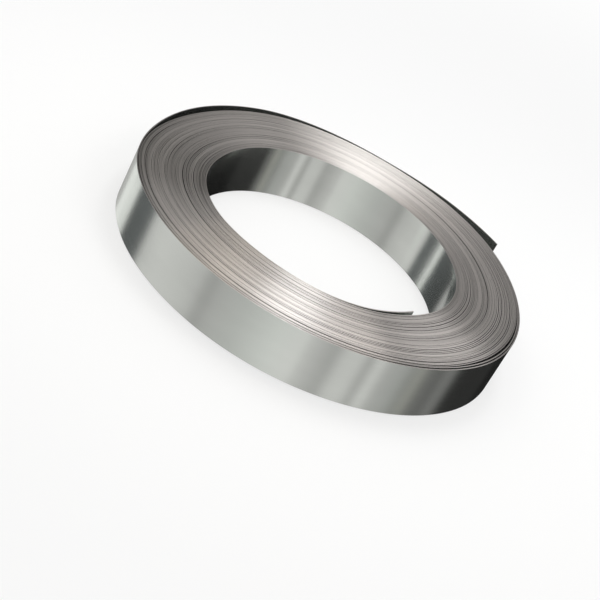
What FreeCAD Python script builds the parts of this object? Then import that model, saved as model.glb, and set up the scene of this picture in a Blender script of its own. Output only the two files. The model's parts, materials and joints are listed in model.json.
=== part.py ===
import FreeCAD, Part
import math
import os
import Sketcher

# One coil of narrow metal strip, wound on itself with no core, lying flat.
# Lengths are in millimetres and angles in degrees. The part's origin is on the
# coil's axis at the level it rests on, +Z up the bore.

SIZES = {
    "bore_radius": 100.0,       # inside of the first turn
    "outer_radius": 156.0,      # outside of the last full turn
    "strip_width": 43.0,        # height of the coil as it lies
    "strip_gauge": 1.0,         # thickness of the strip
    "line_depth": 0.3,          # depth of the lines that show the turns
    "line_half": 0.25,          # half the width of one line
    "line_clear": 1.0,          # how far the cutting shape stands off the face
    "tail_offset": 75.0,        # how far the free end's arc is off the coil's axis
    "tail_sink": 0.1,           # how far its root is set into the last turn
    "tail_root": 84.0,          # where the free end starts to leave the coil
    "tail_overlap": 2.0,        # how far the root starts before that, inside the coil
    "tail_sweep": 28.0,         # the free end's length round its own centre
}
LINE_COUNT = 13

os.makedirs("parts", exist_ok=True)
doc = FreeCAD.newDocument("strip_coil")


def make_sheet():
    """Every named size goes in one spreadsheet cell with its name as alias."""
    sheet = doc.addObject("Spreadsheet::Sheet", "sizes")
    for row, (name, value) in enumerate(SIZES.items(), start=1):
        sheet.set("A%d" % row, name)
        sheet.set("B%d" % row, repr(value))
        sheet.setAlias("B%d" % row, name)
    doc.recompute()
    return sheet


def plane_of(body, role):
    for feature in body.Origin.OriginFeatures:
        if feature.Role == role:
            return feature
    raise ValueError("no origin feature " + role)


def new_sketch(body, role, name):
    sketch = body.newObject("Sketcher::SketchObject", name)
    sketch.AttachmentSupport = [(plane_of(body, role), "")]
    sketch.MapMode = "FlatFace"
    return sketch


def tie(sketch, kind, *args):
    """Add one constraint. A last argument of text is its expression."""
    formula = None
    if isinstance(args[-1], str):
        formula = args[-1]
        args = args[:-1]
    index = sketch.addConstraint(Sketcher.Constraint(kind, *args))
    if formula is not None:
        sketch.setExpression("Constraints[%d]" % index, formula)
    return index


def closed_lines(sketch, points):
    """Straight lines through the points and back to the first one."""
    edges = []
    for i, start in enumerate(points):
        end = points[(i + 1) % len(points)]
        a = FreeCAD.Vector(start[0], start[1], 0)
        b = FreeCAD.Vector(end[0], end[1], 0)
        edges.append(sketch.addGeometry(Part.LineSegment(a, b), False))
    for i, edge in enumerate(edges):
        tie(sketch, "Coincident", edge, 2, edges[(i + 1) % len(edges)], 1)
    return edges


def wall_profile(body):
    """Half section of the wound wall, from the bore out, centred on the width."""
    sketch = new_sketch(body, "XZ_Plane", "wall_section")
    r0 = SIZES["bore_radius"]
    r1 = SIZES["outer_radius"]
    h = SIZES["strip_width"] / 2
    low, far, top, near = closed_lines(sketch, [(r0, -h), (r1, -h), (r1, h), (r0, h)])
    tie(sketch, "Horizontal", low)
    tie(sketch, "Horizontal", top)
    tie(sketch, "Vertical", far)
    tie(sketch, "Vertical", near)
    tie(sketch, "DistanceX", -1, 1, near, 2, r0, "sizes.bore_radius")
    tie(sketch, "DistanceX", -1, 1, far, 1, r1, "sizes.outer_radius")
    tie(sketch, "DistanceY", -1, 1, top, 1, h, "sizes.strip_width / 2")
    tie(sketch, "DistanceY", low, 1, -1, 1, h, "sizes.strip_width / 2")
    return sketch


def line_profile(body):
    """A row of small V shapes at the top of the wall, one per line between turns."""
    sketch = new_sketch(body, "XZ_Plane", "turn_lines_section")
    r0 = SIZES["bore_radius"]
    wall = SIZES["outer_radius"] - r0
    half = SIZES["line_half"]
    clear = SIZES["line_clear"]
    depth = SIZES["line_depth"]
    h = SIZES["strip_width"] / 2
    # the sides of the V are drawn on past the face by line_clear
    spread = half * (depth + clear) / depth
    for i in range(LINE_COUNT):
        share = (i + 1.0) / (LINE_COUNT + 1)
        r = r0 + wall * share
        corners = [(r, h - depth), (r + spread, h + clear), (r - spread, h + clear)]
        right, cap, left = closed_lines(sketch, corners)
        tie(sketch, "Horizontal", cap)
        place = "sizes.bore_radius + (sizes.outer_radius - sizes.bore_radius) * %.8f" % share
        tie(sketch, "DistanceX", -1, 1, right, 1, r, place)
        tie(sketch, "DistanceY", -1, 1, right, 1, h - depth,
            "sizes.strip_width / 2 - sizes.line_depth")
        tie(sketch, "DistanceY", -1, 1, cap, 1, h + clear,
            "sizes.strip_width / 2 + sizes.line_clear")
        reach = "sizes.line_half * (sizes.line_depth + sizes.line_clear) / sizes.line_depth"
        tie(sketch, "DistanceX", right, 1, cap, 1, spread, reach)
        tie(sketch, "DistanceX", cap, 2, right, 1, spread, reach)
    return sketch


def tail_profile(body):
    """Plan of the free outer end: a band between two arcs on one centre, which is
    set off the coil's axis so that the band leaves the last turn at a tangent."""
    sketch = new_sketch(body, "XY_Plane", "tail_plan")
    offset = SIZES["tail_offset"]
    gauge = SIZES["strip_gauge"]
    root = SIZES["tail_root"]
    big = SIZES["outer_radius"] + offset - SIZES["tail_sink"]
    start = math.radians(root + SIZES["tail_overlap"])
    end = math.radians(root - SIZES["tail_sweep"])
    cx = -offset * math.cos(math.radians(root))
    cy = -offset * math.sin(math.radians(root))
    centre = FreeCAD.Vector(cx, cy, 0)
    up = FreeCAD.Vector(0, 0, 1)

    def at(radius, angle):
        return centre + FreeCAD.Vector(radius * math.cos(angle), radius * math.sin(angle), 0)

    small = big - gauge
    outer = sketch.addGeometry(Part.ArcOfCircle(Part.Circle(centre, up, big), end, start), False)
    inner = sketch.addGeometry(Part.ArcOfCircle(Part.Circle(centre, up, small), end, start), False)
    tip = sketch.addGeometry(Part.LineSegment(at(big, end), at(small, end)), False)
    heel = sketch.addGeometry(Part.LineSegment(at(small, start), at(big, start)), False)
    tie(sketch, "Coincident", outer, 3, inner, 3)
    tie(sketch, "Coincident", outer, 1, tip, 1)
    tie(sketch, "Coincident", tip, 2, inner, 1)
    tie(sketch, "Coincident", inner, 2, heel, 1)
    tie(sketch, "Coincident", heel, 2, outer, 2)
    tie(sketch, "DistanceX", outer, 3, -1, 1, -cx, "sizes.tail_offset * cos(sizes.tail_root)")
    tie(sketch, "DistanceY", outer, 3, -1, 1, -cy, "sizes.tail_offset * sin(sizes.tail_root)")
    rim = "sizes.outer_radius + sizes.tail_offset - sizes.tail_sink"
    tie(sketch, "Radius", outer, big, rim)
    tie(sketch, "Radius", inner, small, rim + " - sizes.strip_gauge")
    tie(sketch, "DistanceX", outer, 3, outer, 1, big * math.cos(end),
        "(" + rim + ") * cos(sizes.tail_root - sizes.tail_sweep)")
    tie(sketch, "DistanceX", outer, 2, outer, 3, -big * math.cos(start),
        "-(" + rim + ") * cos(sizes.tail_root + sizes.tail_overlap)")
    tie(sketch, "DistanceX", outer, 3, inner, 1, small * math.cos(end),
        "(" + rim + " - sizes.strip_gauge) * cos(sizes.tail_root - sizes.tail_sweep)")
    tie(sketch, "DistanceX", inner, 2, outer, 3, -small * math.cos(start),
        "-(" + rim + " - sizes.strip_gauge) * cos(sizes.tail_root + sizes.tail_overlap)")
    return sketch


def volume_of(feature):
    doc.recompute()
    return feature.Shape.Volume


make_sheet()
body = doc.addObject("PartDesign::Body", "strip_coil_body")
body.Label = "strip_coil"

wall = body.newObject("PartDesign::Revolution", "wall")
wall.Profile = wall_profile(body)
wall.ReferenceAxis = (plane_of(body, "Z_Axis"), [""])
wall.Angle = 360.0
wall_volume = volume_of(wall)

tail = body.newObject("PartDesign::Pad", "free_end")
tail.Profile = tail_profile(body)
tail.Midplane = True
tail.setExpression("Length", "sizes.strip_width")
tail_volume = volume_of(tail)

lines = body.newObject("PartDesign::Groove", "turn_lines")
lines.Profile = line_profile(body)
lines.ReferenceAxis = (plane_of(body, "Z_Axis"), [""])
lines.Angle = 360.0
lines_volume = volume_of(lines)

both_ends = body.newObject("PartDesign::Mirrored", "turn_lines_under")
both_ends.Originals = [lines]
both_ends.MirrorPlane = (plane_of(body, "XY_Plane"), [""])
body.Tip = both_ends
both_volume = volume_of(both_ends)

body.setExpression("Placement.Base.z", "sizes.strip_width / 2")
doc.recompute()

print("wall %.0f, with free end %.0f" % (wall_volume, tail_volume))
print("lines on top %.0f, on both ends %.0f mm3" % (lines_volume, both_volume))
if not both_volume < lines_volume < tail_volume or not tail_volume > wall_volume:
    raise ValueError("a feature did not change the solid as it should")

for item in doc.Objects:
    if "Invalid" in item.State or "Error" in item.State:
        raise ValueError("%s did not rebuild: %s" % (item.Name, item.State))

shape = body.Shape
if shape.isNull() or not shape.isValid() or len(shape.Solids) != 1:
    raise ValueError("the coil is not one valid solid")
box = shape.BoundBox
print("size %.2f x %.2f x %.2f mm, from z %.3f" % (box.XLength, box.YLength, box.ZLength, box.ZMin))
shape.exportStep("parts/strip_coil.step")
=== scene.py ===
import json
import math

import bpy
import numpy as np
from mathutils import Matrix, Vector


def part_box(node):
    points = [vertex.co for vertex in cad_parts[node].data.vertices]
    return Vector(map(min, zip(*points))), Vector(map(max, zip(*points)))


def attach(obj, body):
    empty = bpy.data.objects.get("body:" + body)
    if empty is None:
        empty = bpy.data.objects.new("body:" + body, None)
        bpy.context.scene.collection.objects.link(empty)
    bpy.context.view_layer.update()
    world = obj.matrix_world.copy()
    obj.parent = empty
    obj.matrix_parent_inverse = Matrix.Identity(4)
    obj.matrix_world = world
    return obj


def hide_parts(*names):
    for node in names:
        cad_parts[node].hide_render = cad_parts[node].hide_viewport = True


# A coil of narrow nickel alloy strip, wound on itself and lying flat. The whole coil
# is one strip: every turn, the loose outside turns and both free ends are one mesh.
# Lengths are in metres and angles in degrees, unless a name says millimetres.

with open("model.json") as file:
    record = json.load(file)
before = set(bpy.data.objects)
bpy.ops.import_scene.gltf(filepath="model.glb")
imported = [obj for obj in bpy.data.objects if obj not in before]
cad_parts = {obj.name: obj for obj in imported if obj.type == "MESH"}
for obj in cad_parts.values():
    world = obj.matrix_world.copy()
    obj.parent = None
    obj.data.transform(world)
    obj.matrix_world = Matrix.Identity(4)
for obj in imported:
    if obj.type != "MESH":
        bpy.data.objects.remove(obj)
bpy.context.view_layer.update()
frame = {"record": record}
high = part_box("strip_coil")[1]
mounts = {mount["name"]: mount for mount in frame["record"]["mounts"]}

MM = 0.001
BORE = mounts["bore"]["dims"]["r_mm"] * MM
OUTSIDE = float(high[0])
HEIGHT = float(high[2])

GAUGE = 1.0 * MM              # thickness of the strip
WIDTH = HEIGHT - 0.9 * MM     # width of the strip; the rest is room to stand proud in
ROUNDING = 0.11 * MM          # depth of the rounding of the slit edges
START, END = 323.0, 44.0      # where the inner and the outer free end are
TURNS = 47.0 + (START - END) / 360.0
STATIONS = 200                # sections of the strip in one turn
POINTS = 8                    # points in one section


# ---------------------------------------------------------------- shape of the coil

def smoothstep(x):
    """0 below 0, 1 above 1, and 3x squared minus 2x cubed between."""
    x = np.clip(x, 0.0, 1.0)
    return x * x * (3.0 - 2.0 * x)


def swell(angle, centre, reach):
    """A smooth hump on the circle: the square of the cosine of a quarter turn at
    reach degrees from the centre, and 0 beyond."""
    away = np.abs((angle - centre + 180.0) % 360.0 - 180.0)
    return np.cos(0.5 * np.pi * np.clip(away / reach, 0.0, 1.0)) ** 2


def wander(t, spacing, seed):
    """Smooth noise along the strip: seeded normal values at evenly spaced knots, with
    a smoothstep from each one to the next."""
    rng = np.random.default_rng(seed)
    knots = rng.normal(size=int(t.max() / spacing) + 3)
    place = t / spacing
    left = np.floor(place).astype(int)
    share = smoothstep(place - left)
    return knots[left] * (1.0 - share) + knots[left + 1] * share


def bore_line(angle):
    """Radius of the innermost turn in mm: the bore's, plus humps where it is out of
    round."""
    return (BORE / MM
            + 3.4 * swell(angle, 206.0, 42.0)
            - 3.4 * swell(angle, 262.0, 44.0)
            - 1.2 * swell(angle, 312.0, 36.0)
            + 0.8 * swell(angle, 120.0, 70.0))


def pack_line(angle):
    """Radius of the tightly wound part's outside in mm, with its flat places."""
    return (OUTSIDE / MM - 1.4
            - 5.8 * swell(angle, 160.0, 42.0)
            + 1.2 * swell(angle, 112.0, 34.0)
            + 1.4 * swell(angle, 56.0, 34.0)
            - 1.4 * swell(angle, 10.0, 40.0)
            - 1.2 * swell(angle, 336.0, 34.0)
            + 0.6 * swell(angle, 215.0, 30.0))


def unevenness(angle):
    """How strongly the turns show at that angle: most on the left, least at the back
    and at the left front, where the coil is wound evenly."""
    return (0.85 - 0.60 * swell(angle, 95.0, 95.0) + 0.60 * swell(angle, 198.0, 42.0)
            - 0.35 * swell(angle, 238.0, 34.0))


def breaks(seed, count, least):
    """Turns at which one wound group ends and the next begins: a seeded choice,
    spread over the wall. The gaps between them are least plus a random part, all
    scaled to fill the wall."""
    rng = np.random.default_rng(seed)
    gaps = least + rng.exponential(1.0, size=count + 1)
    places = np.cumsum(gaps)
    return (TURNS - 2.0) * places[:-1] / places[-1]


def wound_radius(t, angle):
    """Inner radius of the strip in mm, t turns from its start. It is the bore line,
    plus a gauge for each turn, plus a share of the slack at that angle. The shares
    grow evenly with t and by a step at each break between groups, so that turns
    at one angle never cross."""
    def share(turn):
        total = 0.16 * turn / TURNS
        for number, place in enumerate(breaks(3, 27, 1.1)):
            rng = np.random.default_rng(100 + number)
            size = rng.uniform(0.4, 1.0)
            where = rng.uniform(0.0, 360.0)
            size = size * unevenness(angle) * (0.35 + 1.1 * swell(angle, where, 150.0))
            total = total + 0.06 * size * smoothstep((turn - place) / 0.16)
        return total

    slack = pack_line(angle) - bore_line(angle) - GAUGE / MM * (TURNS - 1.0)
    return bore_line(angle) + GAUGE / MM * t + slack * share(t) / share(TURNS - 1.0)


def from_turn(t, turn):
    """0 up to that many turns before the outer end and 1 soon after, with a smoothstep
    a tenth of a turn long."""
    return smoothstep((t - TURNS + turn + 0.05) / 0.1)


def loose_turns(t, angle):
    """How far in mm the last two turns and the free ends stand off: gaps that open
    and close round the coil, a parabola at the outer end, another inwards at the
    inner end."""
    off = from_turn(t, 2.0) * (0.10 + 1.5 * swell(angle, 338.0, 38.0))
    off = off + from_turn(t, 1.0) * (0.25 + 0.8 * swell(angle, 322.0, 44.0)
                                     + 2.6 * swell(angle, 163.0, 34.0)
                                     + 5.4 * swell(angle, 133.0, 48.0)
                                     + 0.8 * swell(angle, 88.0, 44.0))
    to_end = (TURNS - t) * 360.0
    off = off + 11.2 * np.clip(1.0 - to_end / 44.0, 0.0, 1.0) ** 1.5
    from_start = t * 360.0
    off = off - 3.4 * np.clip(1.0 - from_start / 60.0, 0.0, 1.0) ** 1.5
    return off


def proud(t, angle):
    """Height in mm of the strip's lower edge over the floor. It is a group's own
    height, which fades round the coil, plus a little for each turn, and more of that
    on the left. It is kept from 0 to 0.85."""
    height = 0.12 * wander(t, 0.55, 11) + 0.27 * swell(angle, 198.0, 52.0) * wander(t, 0.9, 12)
    for number, place in enumerate(breaks(5, 20, 1.2)):
        rng = np.random.default_rng(300 + number)
        size = rng.normal() * 0.30
        where = rng.uniform(0.0, 360.0)
        length = rng.uniform(1.2, 5.0)
        step = smoothstep((t - place) / 0.2) - smoothstep((t - place - length) / 0.2)
        height = height + size * (0.25 + 0.9 * swell(angle, where, 140.0)) * step
    return np.clip(unevenness(angle) * height + 0.4, 0.0, 0.85)


def wind_strip():
    """The strip as one mesh. A section of eight points, a long thin rectangle with its
    corners taken off, is carried along the spiral. Its angle falls evenly with
    length, so it winds clockwise outwards; its radius and height come from the
    functions above."""
    count = int(round(TURNS * STATIONS)) + 1
    t = np.linspace(0.0, TURNS, count)
    angle = (START - 360.0 * t) % 360.0
    radius = (wound_radius(t, angle) + loose_turns(t, angle)) * MM
    base = proud(t, angle) * MM
    turn = np.radians(START - 360.0 * t)

    # the section: inner, foot, foot, outer, outer, top, top, inner
    across = np.array([0.0, 0.2, 0.8, 1.0, 1.0, 0.8, 0.2, 0.0]) * GAUGE
    up = np.array([ROUNDING, 0.0, 0.0, ROUNDING])
    up = np.concatenate([up, WIDTH - up])
    r = radius[:, None] + across[None, :]
    z = base[:, None] + up[None, :]
    points = np.stack([r * np.cos(turn)[:, None], r * np.sin(turn)[:, None], z], axis=-1)

    i = np.arange(count - 1)[:, None] * POINTS
    j = np.arange(POINTS)[None, :]
    k = (j + 1) % POINTS
    quads = np.stack([i + j, i + k, i + POINTS + k, i + POINTS + j], axis=-1)
    first = np.arange(POINTS - 1, -1, -1)
    last = (count - 1) * POINTS + np.arange(POINTS)

    mesh = bpy.data.meshes.new("strip_coil_wound")
    mesh.from_pydata(points.reshape(-1, 3).tolist(), [],
                     quads.reshape(-1, 4).tolist() + [first.tolist(), last.tolist()])
    paint_strip(mesh, points, t, angle)
    return mesh


def paint_strip(mesh, points, t, angle):
    """Give the strip its UV map, its colour values and its two materials. U is the length along
    the strip in metres, V the way round its section in metres. Tone is seeded noise
    along the strip, a new value every third of a turn, so neighbouring turns differ;
    the last turn's edge is also painted dark at the back, where it stands off: painted shade."""
    count = len(t)
    middle = points.mean(axis=1)
    steps = np.linalg.norm(np.diff(middle, axis=0), axis=1)
    along = np.concatenate([[0.0], np.cumsum(steps)])
    side = np.array([0.0, 0.2, 0.8, 1.0, 1.0, 1.2, 1.8, 2.0, 2.0]) * GAUGE
    side = side + np.array([0.0, 0.0, 0.0, 0.0, 1.0, 1.0, 1.0, 1.0, 2.0]) * WIDTH

    station = np.repeat(np.arange(count - 1), POINTS)
    part = np.tile(np.arange(POINTS), count - 1)
    u = np.stack([along[station], along[station], along[station + 1], along[station + 1]], axis=1)
    v = np.stack([side[part], side[part + 1], side[part + 1], side[part]], axis=1)
    body = np.stack([u, v], axis=-1).reshape(-1, 2)
    ends = np.zeros((2 * POINTS, 2))
    uv = mesh.uv_layers.new(name="strip")
    uv.data.foreach_set("uv", np.concatenate([body, ends]).ravel().astype(np.float32))

    tone_and_shade = 1.1 * unevenness(angle) * (0.6 * wander(t, 0.35, 21) + 0.5 * wander(t, 2.7, 22))
    # painted shade: the last turn's edge darkened at the back, where it stands off from the coil
    tone_and_shade = tone_and_shade - 4.0 * from_turn(t, 1.0) * smoothstep(2.0 * swell(angle, 112.0, 88.0))
    layer = mesh.attributes.new("tone_and_shade", "FLOAT", "POINT")
    layer.data.foreach_set("value", np.repeat(tone_and_shade, POINTS).astype(np.float32))

    # the outer and the inner face take the first material, all the rest the second
    rolled = (part == 3) | (part == 7)
    slots = np.concatenate([np.where(rolled, 0, 1), [1, 1]]).astype(np.int32)
    mesh.polygons.foreach_set("material_index", slots)
    mesh.polygons.foreach_set("use_smooth", np.ones(len(slots), dtype=bool))

    # sharp where the rolled faces end, and round both ends of the strip
    pairs = np.empty(len(mesh.edges) * 2, dtype=np.int32)
    mesh.edges.foreach_get("vertices", pairs)
    pairs = pairs.reshape(-1, 2)
    lengthways = pairs[:, 0] % POINTS == pairs[:, 1] % POINTS
    corner = np.isin(pairs[:, 0] % POINTS, [0, 3, 4, 7])
    section = pairs // POINTS
    across = (section == 0).all(axis=1) | (section == count - 1).all(axis=1)
    sharp = mesh.attributes.new("sharp_edge", "BOOLEAN", "EDGE")
    sharp.data.foreach_set("value", (lengthways & corner) | across)
    mesh.update()


# ---------------------------------------------------------------- finishes

def node_tree(name, kind="ShaderNodeBsdfPrincipled"):
    """A new material with one shader of that kind, joined to its output."""
    material = bpy.data.materials.new(name)
    material.use_nodes = True
    nodes, links = material.node_tree.nodes, material.node_tree.links
    nodes.clear()
    shader = nodes.new(kind)
    output = nodes.new("ShaderNodeOutputMaterial")
    links.new(shader.outputs[0], output.inputs["Surface"])
    return material, nodes, links, shader


def strip_noise(nodes, links, stretch, detail):
    """Noise on the strip's own UV map, scaled by the two numbers of stretch."""
    uv = nodes.new("ShaderNodeUVMap")
    uv.uv_map = "strip"
    mapping = nodes.new("ShaderNodeMapping")
    mapping.inputs["Scale"].default_value = (stretch[0], stretch[1], 1.0)
    noise = nodes.new("ShaderNodeTexNoise")
    noise.noise_dimensions = "2D"
    noise.inputs["Scale"].default_value = 1.0
    noise.inputs["Detail"].default_value = detail
    links.new(uv.outputs["UV"], mapping.inputs["Vector"])
    links.new(mapping.outputs["Vector"], noise.inputs["Vector"])
    return noise.outputs["Fac"]


def between(nodes, links, value, ends, source=(0.3, 0.7), shape="LINEAR"):
    """Carry a value from one range to another, in a straight line if not told."""
    node = nodes.new("ShaderNodeMapRange")
    node.interpolation_type = shape
    node.inputs["From Min"].default_value = source[0]
    node.inputs["From Max"].default_value = source[1]
    node.inputs["To Min"].default_value = ends[0]
    node.inputs["To Max"].default_value = ends[1]
    links.new(value, node.inputs["Value"])
    return node.outputs["Result"]


def colour_between(nodes, links, value, first, second):
    """The first colour where the value is 0, the second where it is 1."""
    mix = nodes.new("ShaderNodeMix")
    mix.data_type = "RGBA"
    mix.inputs[6].default_value = (*first, 1.0)
    mix.inputs[7].default_value = (*second, 1.0)
    links.new(value, mix.inputs[0])
    return mix.outputs[2]


def lengthways_grain(nodes, links, shader):
    """Point the shader's grain along the strip."""
    tangent = nodes.new("ShaderNodeTangent")
    tangent.direction_type = "UV_MAP"
    tangent.uv_map = "strip"
    links.new(tangent.outputs["Tangent"], shader.inputs["Tangent"])
    shader.inputs["Anisotropic"].default_value = 0.9
    shader.inputs["Anisotropic Rotation"].default_value = 0.25


def rolled_face():
    """Bright cold-rolled face: fine grain along the strip, faint cloudy patches."""
    material, nodes, links, shader = node_tree("rolled_face")
    shader.inputs["Metallic"].default_value = 1.0
    lengthways_grain(nodes, links, shader)
    cloud = strip_noise(nodes, links, (9.0, 40.0), 3.0)
    grain = strip_noise(nodes, links, (40.0, 3600.0), 2.0)
    colour = colour_between(nodes, links, between(nodes, links, cloud, (0.0, 1.0)),
                            (0.685, 0.70, 0.68), (0.72, 0.735, 0.715))
    links.new(colour, shader.inputs["Base Color"])
    links.new(between(nodes, links, grain, (0.17, 0.21)), shader.inputs["Roughness"])
    bump = nodes.new("ShaderNodeBump")
    bump.inputs["Strength"].default_value = 0.03
    bump.inputs["Distance"].default_value = 0.00002
    links.new(grain, bump.inputs["Height"])
    links.new(bump.outputs["Normal"], shader.inputs["Normal"])
    return material


def slit_edge():
    """Slit edge: duller and warmer than the face, each turn a little different, with painted
    shade darkening the last turn's edge at the back.
    """
    material, nodes, links, shader = node_tree("slit_edge")
    shader.inputs["Metallic"].default_value = 1.0
    lengthways_grain(nodes, links, shader)
    attribute = nodes.new("ShaderNodeAttribute")
    attribute.attribute_name = "tone_and_shade"
    # values down to -4.8 come from the painted shade on the last turn's edge; the dark end colour
    # serves both the random tone and that painted shade
    tone_and_shade = between(nodes, links, attribute.outputs["Fac"], (0.0, 1.0), (-4.8, 1.6))
    colour = colour_between(nodes, links, tone_and_shade, (0.14, 0.13, 0.125), (0.62, 0.58, 0.555))
    links.new(colour, shader.inputs["Base Color"])
    grain = strip_noise(nodes, links, (400.0, 3000.0), 2.0)
    links.new(between(nodes, links, grain, (0.31, 0.39)), shader.inputs["Roughness"])
    return material


# ---------------------------------------------------------------- surroundings

def look_from():
    """Camera at the named rise, turned about its own line of sight by the named roll,
    with the coil's centre a little off the middle of the view."""
    rise, roll = math.radians(29.23), math.radians(28.75)
    distance, aside, below = 6.933 * OUTSIDE, 0.054 * OUTSIDE, 0.136 * OUTSIDE
    ahead = Vector((0.0, math.cos(rise), -math.sin(rise)))
    level = Vector((1.0, 0.0, 0.0))
    upright = level.cross(ahead)
    right = math.cos(roll) * level + math.sin(roll) * upright
    up = -math.sin(roll) * level + math.cos(roll) * upright
    place = -(aside * right + below * up + distance * ahead)
    camera = bpy.data.objects.new("camera", bpy.data.cameras.new("camera"))
    camera.data.sensor_width = 36.0
    camera.data.lens = 85.92
    camera.data.clip_start = 0.01
    turned = Matrix((right, up, -ahead)).transposed()
    camera.matrix_world = Matrix.Translation(place) @ turned.to_4x4()
    bpy.context.collection.objects.link(camera)
    bpy.context.scene.camera = camera


# Level and tint of the studio round the coil, by direction round the axis. It starts
# five degrees before the -X direction, where a light grey starts.
STUDIO = (
    (-185.0, 0.72, "grey"), (-168.0, 0.75, "grey"), (-151.0, 0.68, "grey"),
    (-140.0, 0.60, "grey"), (-136.0, 0.46, "grey"), (-132.0, 0.42, "grey"),
    (-128.0, 0.52, "grey"), (-110.0, 0.60, "green"), (-88.0, 0.78, "green"),
    (-75.0, 0.80, "grey"), (-72.0, 0.67, "grey"), (-58.0, 0.45, "grey"),
    (-53.0, 0.70, "grey"), (-44.0, 0.73, "grey"), (-40.0, 0.36, "grey"),
    (-34.0, 0.88, "grey"), (-29.0, 0.50, "grey"), (-18.0, 0.46, "green"),
    (-14.0, 0.27, "green"), (-8.0, 0.44, "olive"), (-4.0, 0.18, "grey"),
    (2.0, 0.17, "grey"), (5.0, 0.10, "grey"), (9.0, 0.24, "grey"),
    (15.0, 0.28, "grey"), (18.0, 0.03, "grey"), (25.0, 0.008, "grey"),
    (74.0, 0.008, "grey"), (92.0, 0.35, "grey"), (122.0, 0.50, "grey"),
    (131.0, 0.06, "slate"), (174.0, 0.13, "slate"),
)
TINTS = {"grey": (1.0, 1.0, 0.97), "green": (0.98, 1.0, 0.96),
         "slate": (0.94, 1.0, 1.0), "olive": (1.0, 1.0, 0.90)}


def surround():
    """World seen by polished metal: soft vertical bands by direction, and higher up a
    grey that is lightest over the middle. The eye sees plain white, and dull surfaces
    an even pale light."""
    world = bpy.data.worlds.new("studio")
    bpy.context.scene.world = world
    world.use_nodes = True
    nodes, links = world.node_tree.nodes, world.node_tree.links
    nodes.clear()

    def maths(operation, first, second=None):
        node = nodes.new("ShaderNodeMath")
        node.operation = operation
        for socket, value in zip(node.inputs, (first, second)):
            if isinstance(value, (int, float)):
                socket.default_value = value
            elif value is not None:
                links.new(value, socket)
        return node.outputs[0]

    direction = nodes.new("ShaderNodeTexCoord").outputs["Generated"]
    split = nodes.new("ShaderNodeSeparateXYZ")
    links.new(direction, split.inputs[0])
    round_axis = maths("ARCTAN2", split.outputs["Y"], split.outputs["X"])
    start = STUDIO[0][0]
    share = maths("DIVIDE", round_axis, 2.0 * math.pi)
    share = maths("FRACT", maths("ADD", share, -start / 360.0))
    bands = nodes.new("ShaderNodeValToRGB")
    bands.color_ramp.interpolation = "LINEAR"
    stops = bands.color_ramp.elements
    for number, (degrees, level, tint) in enumerate(STUDIO):
        place = (degrees - start) / 360.0
        if number < 2:
            stop = stops[number]
            stop.position = place
        else:
            stop = stops.new(place)
        stop.color = (*(level * part for part in TINTS[tint]), 1.0)
    links.new(share, bands.inputs["Fac"])

    rise = between(nodes, links, split.outputs["Z"], (0.0, 1.0), (0.25, 0.60), "SMOOTHSTEP")
    aside = maths("ABSOLUTE", split.outputs["X"])
    ceiling = between(nodes, links, aside, (0.85, 0.30), (0.0, 0.70), "SMOOTHSTEP")
    upper = nodes.new("ShaderNodeMix")
    upper.data_type = "RGBA"
    links.new(rise, upper.inputs[0])
    links.new(bands.outputs["Color"], upper.inputs[6])
    links.new(ceiling, upper.inputs[7])

    path = nodes.new("ShaderNodeLightPath")
    metal = nodes.new("ShaderNodeBackground")
    links.new(upper.outputs[2], metal.inputs["Color"])
    plain = nodes.new("ShaderNodeBackground")
    plain.inputs["Color"].default_value = (0.75, 0.75, 0.75, 1.0)
    white = nodes.new("ShaderNodeBackground")
    white.inputs["Color"].default_value = (1.0, 1.0, 1.0, 1.0)
    by_gloss = nodes.new("ShaderNodeMixShader")
    links.new(path.outputs["Is Glossy Ray"], by_gloss.inputs[0])
    links.new(plain.outputs[0], by_gloss.inputs[1])
    links.new(metal.outputs[0], by_gloss.inputs[2])
    by_eye = nodes.new("ShaderNodeMixShader")
    links.new(path.outputs["Is Camera Ray"], by_eye.inputs[0])
    links.new(by_gloss.outputs[0], by_eye.inputs[1])
    links.new(white.outputs[0], by_eye.inputs[2])
    output = nodes.new("ShaderNodeOutputWorld")
    links.new(by_eye.outputs[0], output.inputs["Surface"])


def lay_floor():
    """A plain pale floor. The eye sees it nearly white, with the coil's soft shadow,
    and quite white further off, so that it has no horizon."""
    half = 4.0
    mesh = bpy.data.meshes.new("floor")
    corners = [(-half, -half, 0.0), (half, -half, 0.0), (half, half, 0.0), (-half, half, 0.0)]
    mesh.from_pydata(corners, [], [(0, 1, 2, 3)])
    floor = bpy.data.objects.new("floor", mesh)
    bpy.context.collection.objects.link(floor)
    material, nodes, links, shader = node_tree("pale_floor")
    shader.inputs["Base Color"].default_value = (0.86, 0.86, 0.86, 1.0)
    shader.inputs["Roughness"].default_value = 0.9
    shader.inputs["Specular IOR Level"].default_value = 0.0
    glow = nodes.new("ShaderNodeEmission")
    glow.inputs["Color"].default_value = (1.0, 1.0, 1.0, 1.0)
    place = nodes.new("ShaderNodeTexCoord")
    away = nodes.new("ShaderNodeVectorMath")
    away.operation = "LENGTH"
    links.new(place.outputs["Object"], away.inputs[0])
    whiter = between(nodes, links, away.outputs["Value"], (0.6, 1.0), (0.35, 1.3))
    path = nodes.new("ShaderNodeLightPath")
    share = nodes.new("ShaderNodeMath")
    share.operation = "MULTIPLY"
    links.new(whiter, share.inputs[1])
    links.new(path.outputs["Is Camera Ray"], share.inputs[0])
    mix = nodes.new("ShaderNodeMixShader")
    links.new(share.outputs[0], mix.inputs[0])
    links.new(shader.outputs[0], mix.inputs[1])
    links.new(glow.outputs[0], mix.inputs[2])
    links.new(mix.outputs[0], nodes["Material Output"].inputs["Surface"])
    mesh.materials.append(material)
    floor.visible_glossy = False


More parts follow.
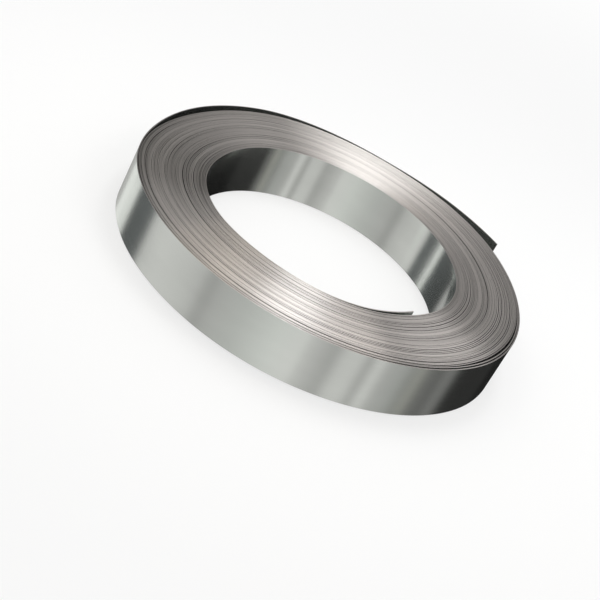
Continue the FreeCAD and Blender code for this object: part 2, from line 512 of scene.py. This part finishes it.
def stand_card(name, first, last, level, tint, foot=-0.6, top=0.05):
    """A standing card that only metal sees, between two plan points."""
    mesh = bpy.data.meshes.new(name)
    corners = [(*first, foot), (*last, foot), (*last, top), (*first, top)]
    mesh.from_pydata(corners, [], [(0, 1, 2, 3)])
    card = bpy.data.objects.new(name, mesh)
    bpy.context.collection.objects.link(card)
    material, _, _, glow = node_tree(name, "ShaderNodeEmission")
    glow.inputs["Color"].default_value = (*(level * part for part in TINTS[tint]), 1.0)
    mesh.materials.append(material)
    card.visible_camera = False
    card.visible_diffuse = False
    card.visible_shadow = False
    card.visible_transmission = False


def hang_light(name, place, aim, size, watts, tint):
    """A soft box at a place, turned to face its aim, that the eye doesn't see."""
    light = bpy.data.lights.new(name, "AREA")
    light.color = LAMP_TINTS[tint]
    light.shape = "RECTANGLE"
    light.size, light.size_y = size
    light.energy = watts
    lamp = bpy.data.objects.new(name, light)
    toward = Vector(aim) - Vector(place)
    lamp.rotation_euler = toward.to_track_quat("-Z", "Y").to_euler()
    lamp.location = place
    lamp.visible_camera = False
    bpy.context.collection.objects.link(lamp)


# Name, place, aim, size, watts and tint of each lamp. The first gives the highlight at
# the back, the next three the one at the front, the last two the two sides.
LAMPS = (
    ("top_box", (0.0, 0.33, 0.95), (0.0, 0.08, 0.0), (0.20, 0.50), 2.0, "cool"),
    ("near_left_box", (-0.175, -0.08, 0.52), (-0.04, -0.124, 0.04), (0.20, 0.20), 0.235, "warm"),
    ("near_right_box", (0.205, -0.07, 0.52), (0.045, -0.122, 0.04), (0.20, 0.20), 0.40, "mild"),
    ("left_box", (-0.254, 0.0, 0.49), (-0.065, -0.113, 0.04), (0.22, 0.22), 0.19, "warm"),
    ("low_left_box", (-0.35, 0.15, 0.40), (-0.11, -0.07, 0.04), (0.24, 0.24), 0.08, "plain"),
    ("right_box", (0.32, 0.26, 0.40), (0.11, -0.07, 0.04), (0.24, 0.24), 0.21, "plain"),
)
LAMP_TINTS = {"cool": (0.97, 1.0, 1.0), "plain": (1.0, 1.0, 1.0),
              "mild": (1.0, 0.97, 0.93), "warm": (1.0, 0.94, 0.82)}


# ---------------------------------------------------------------- making

bpy.context.scene.view_settings.view_transform = "Standard"
look_from()
surround()
lay_floor()
stand_card("bright_card", (-0.380, 0.120), (-0.295, 0.154), 1.0, "green")
stand_card("near_bright_card", (-0.218, 0.0), (-0.222, -0.034), 0.90, "green", -0.10, 0.0)
stand_card("left_dark_card", (-0.69, -0.06), (-0.69, 0.12), 0.14, "slate")
stand_card("right_dark_card", (0.486, 0.075), (0.486, 0.40), 0.028, "grey")
stand_card("high_dark_card", (-0.42, 0.46), (-0.07, 0.565), 0.27, "grey", 0.10, 0.60)
for lamp in LAMPS:
    hang_light(*lamp)

coil = bpy.data.objects.new("strip_coil_wound", wind_strip())
bpy.context.collection.objects.link(coil)
coil.data.materials.append(rolled_face())
coil.data.materials.append(slit_edge())
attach(coil, "root")
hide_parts("strip_coil")
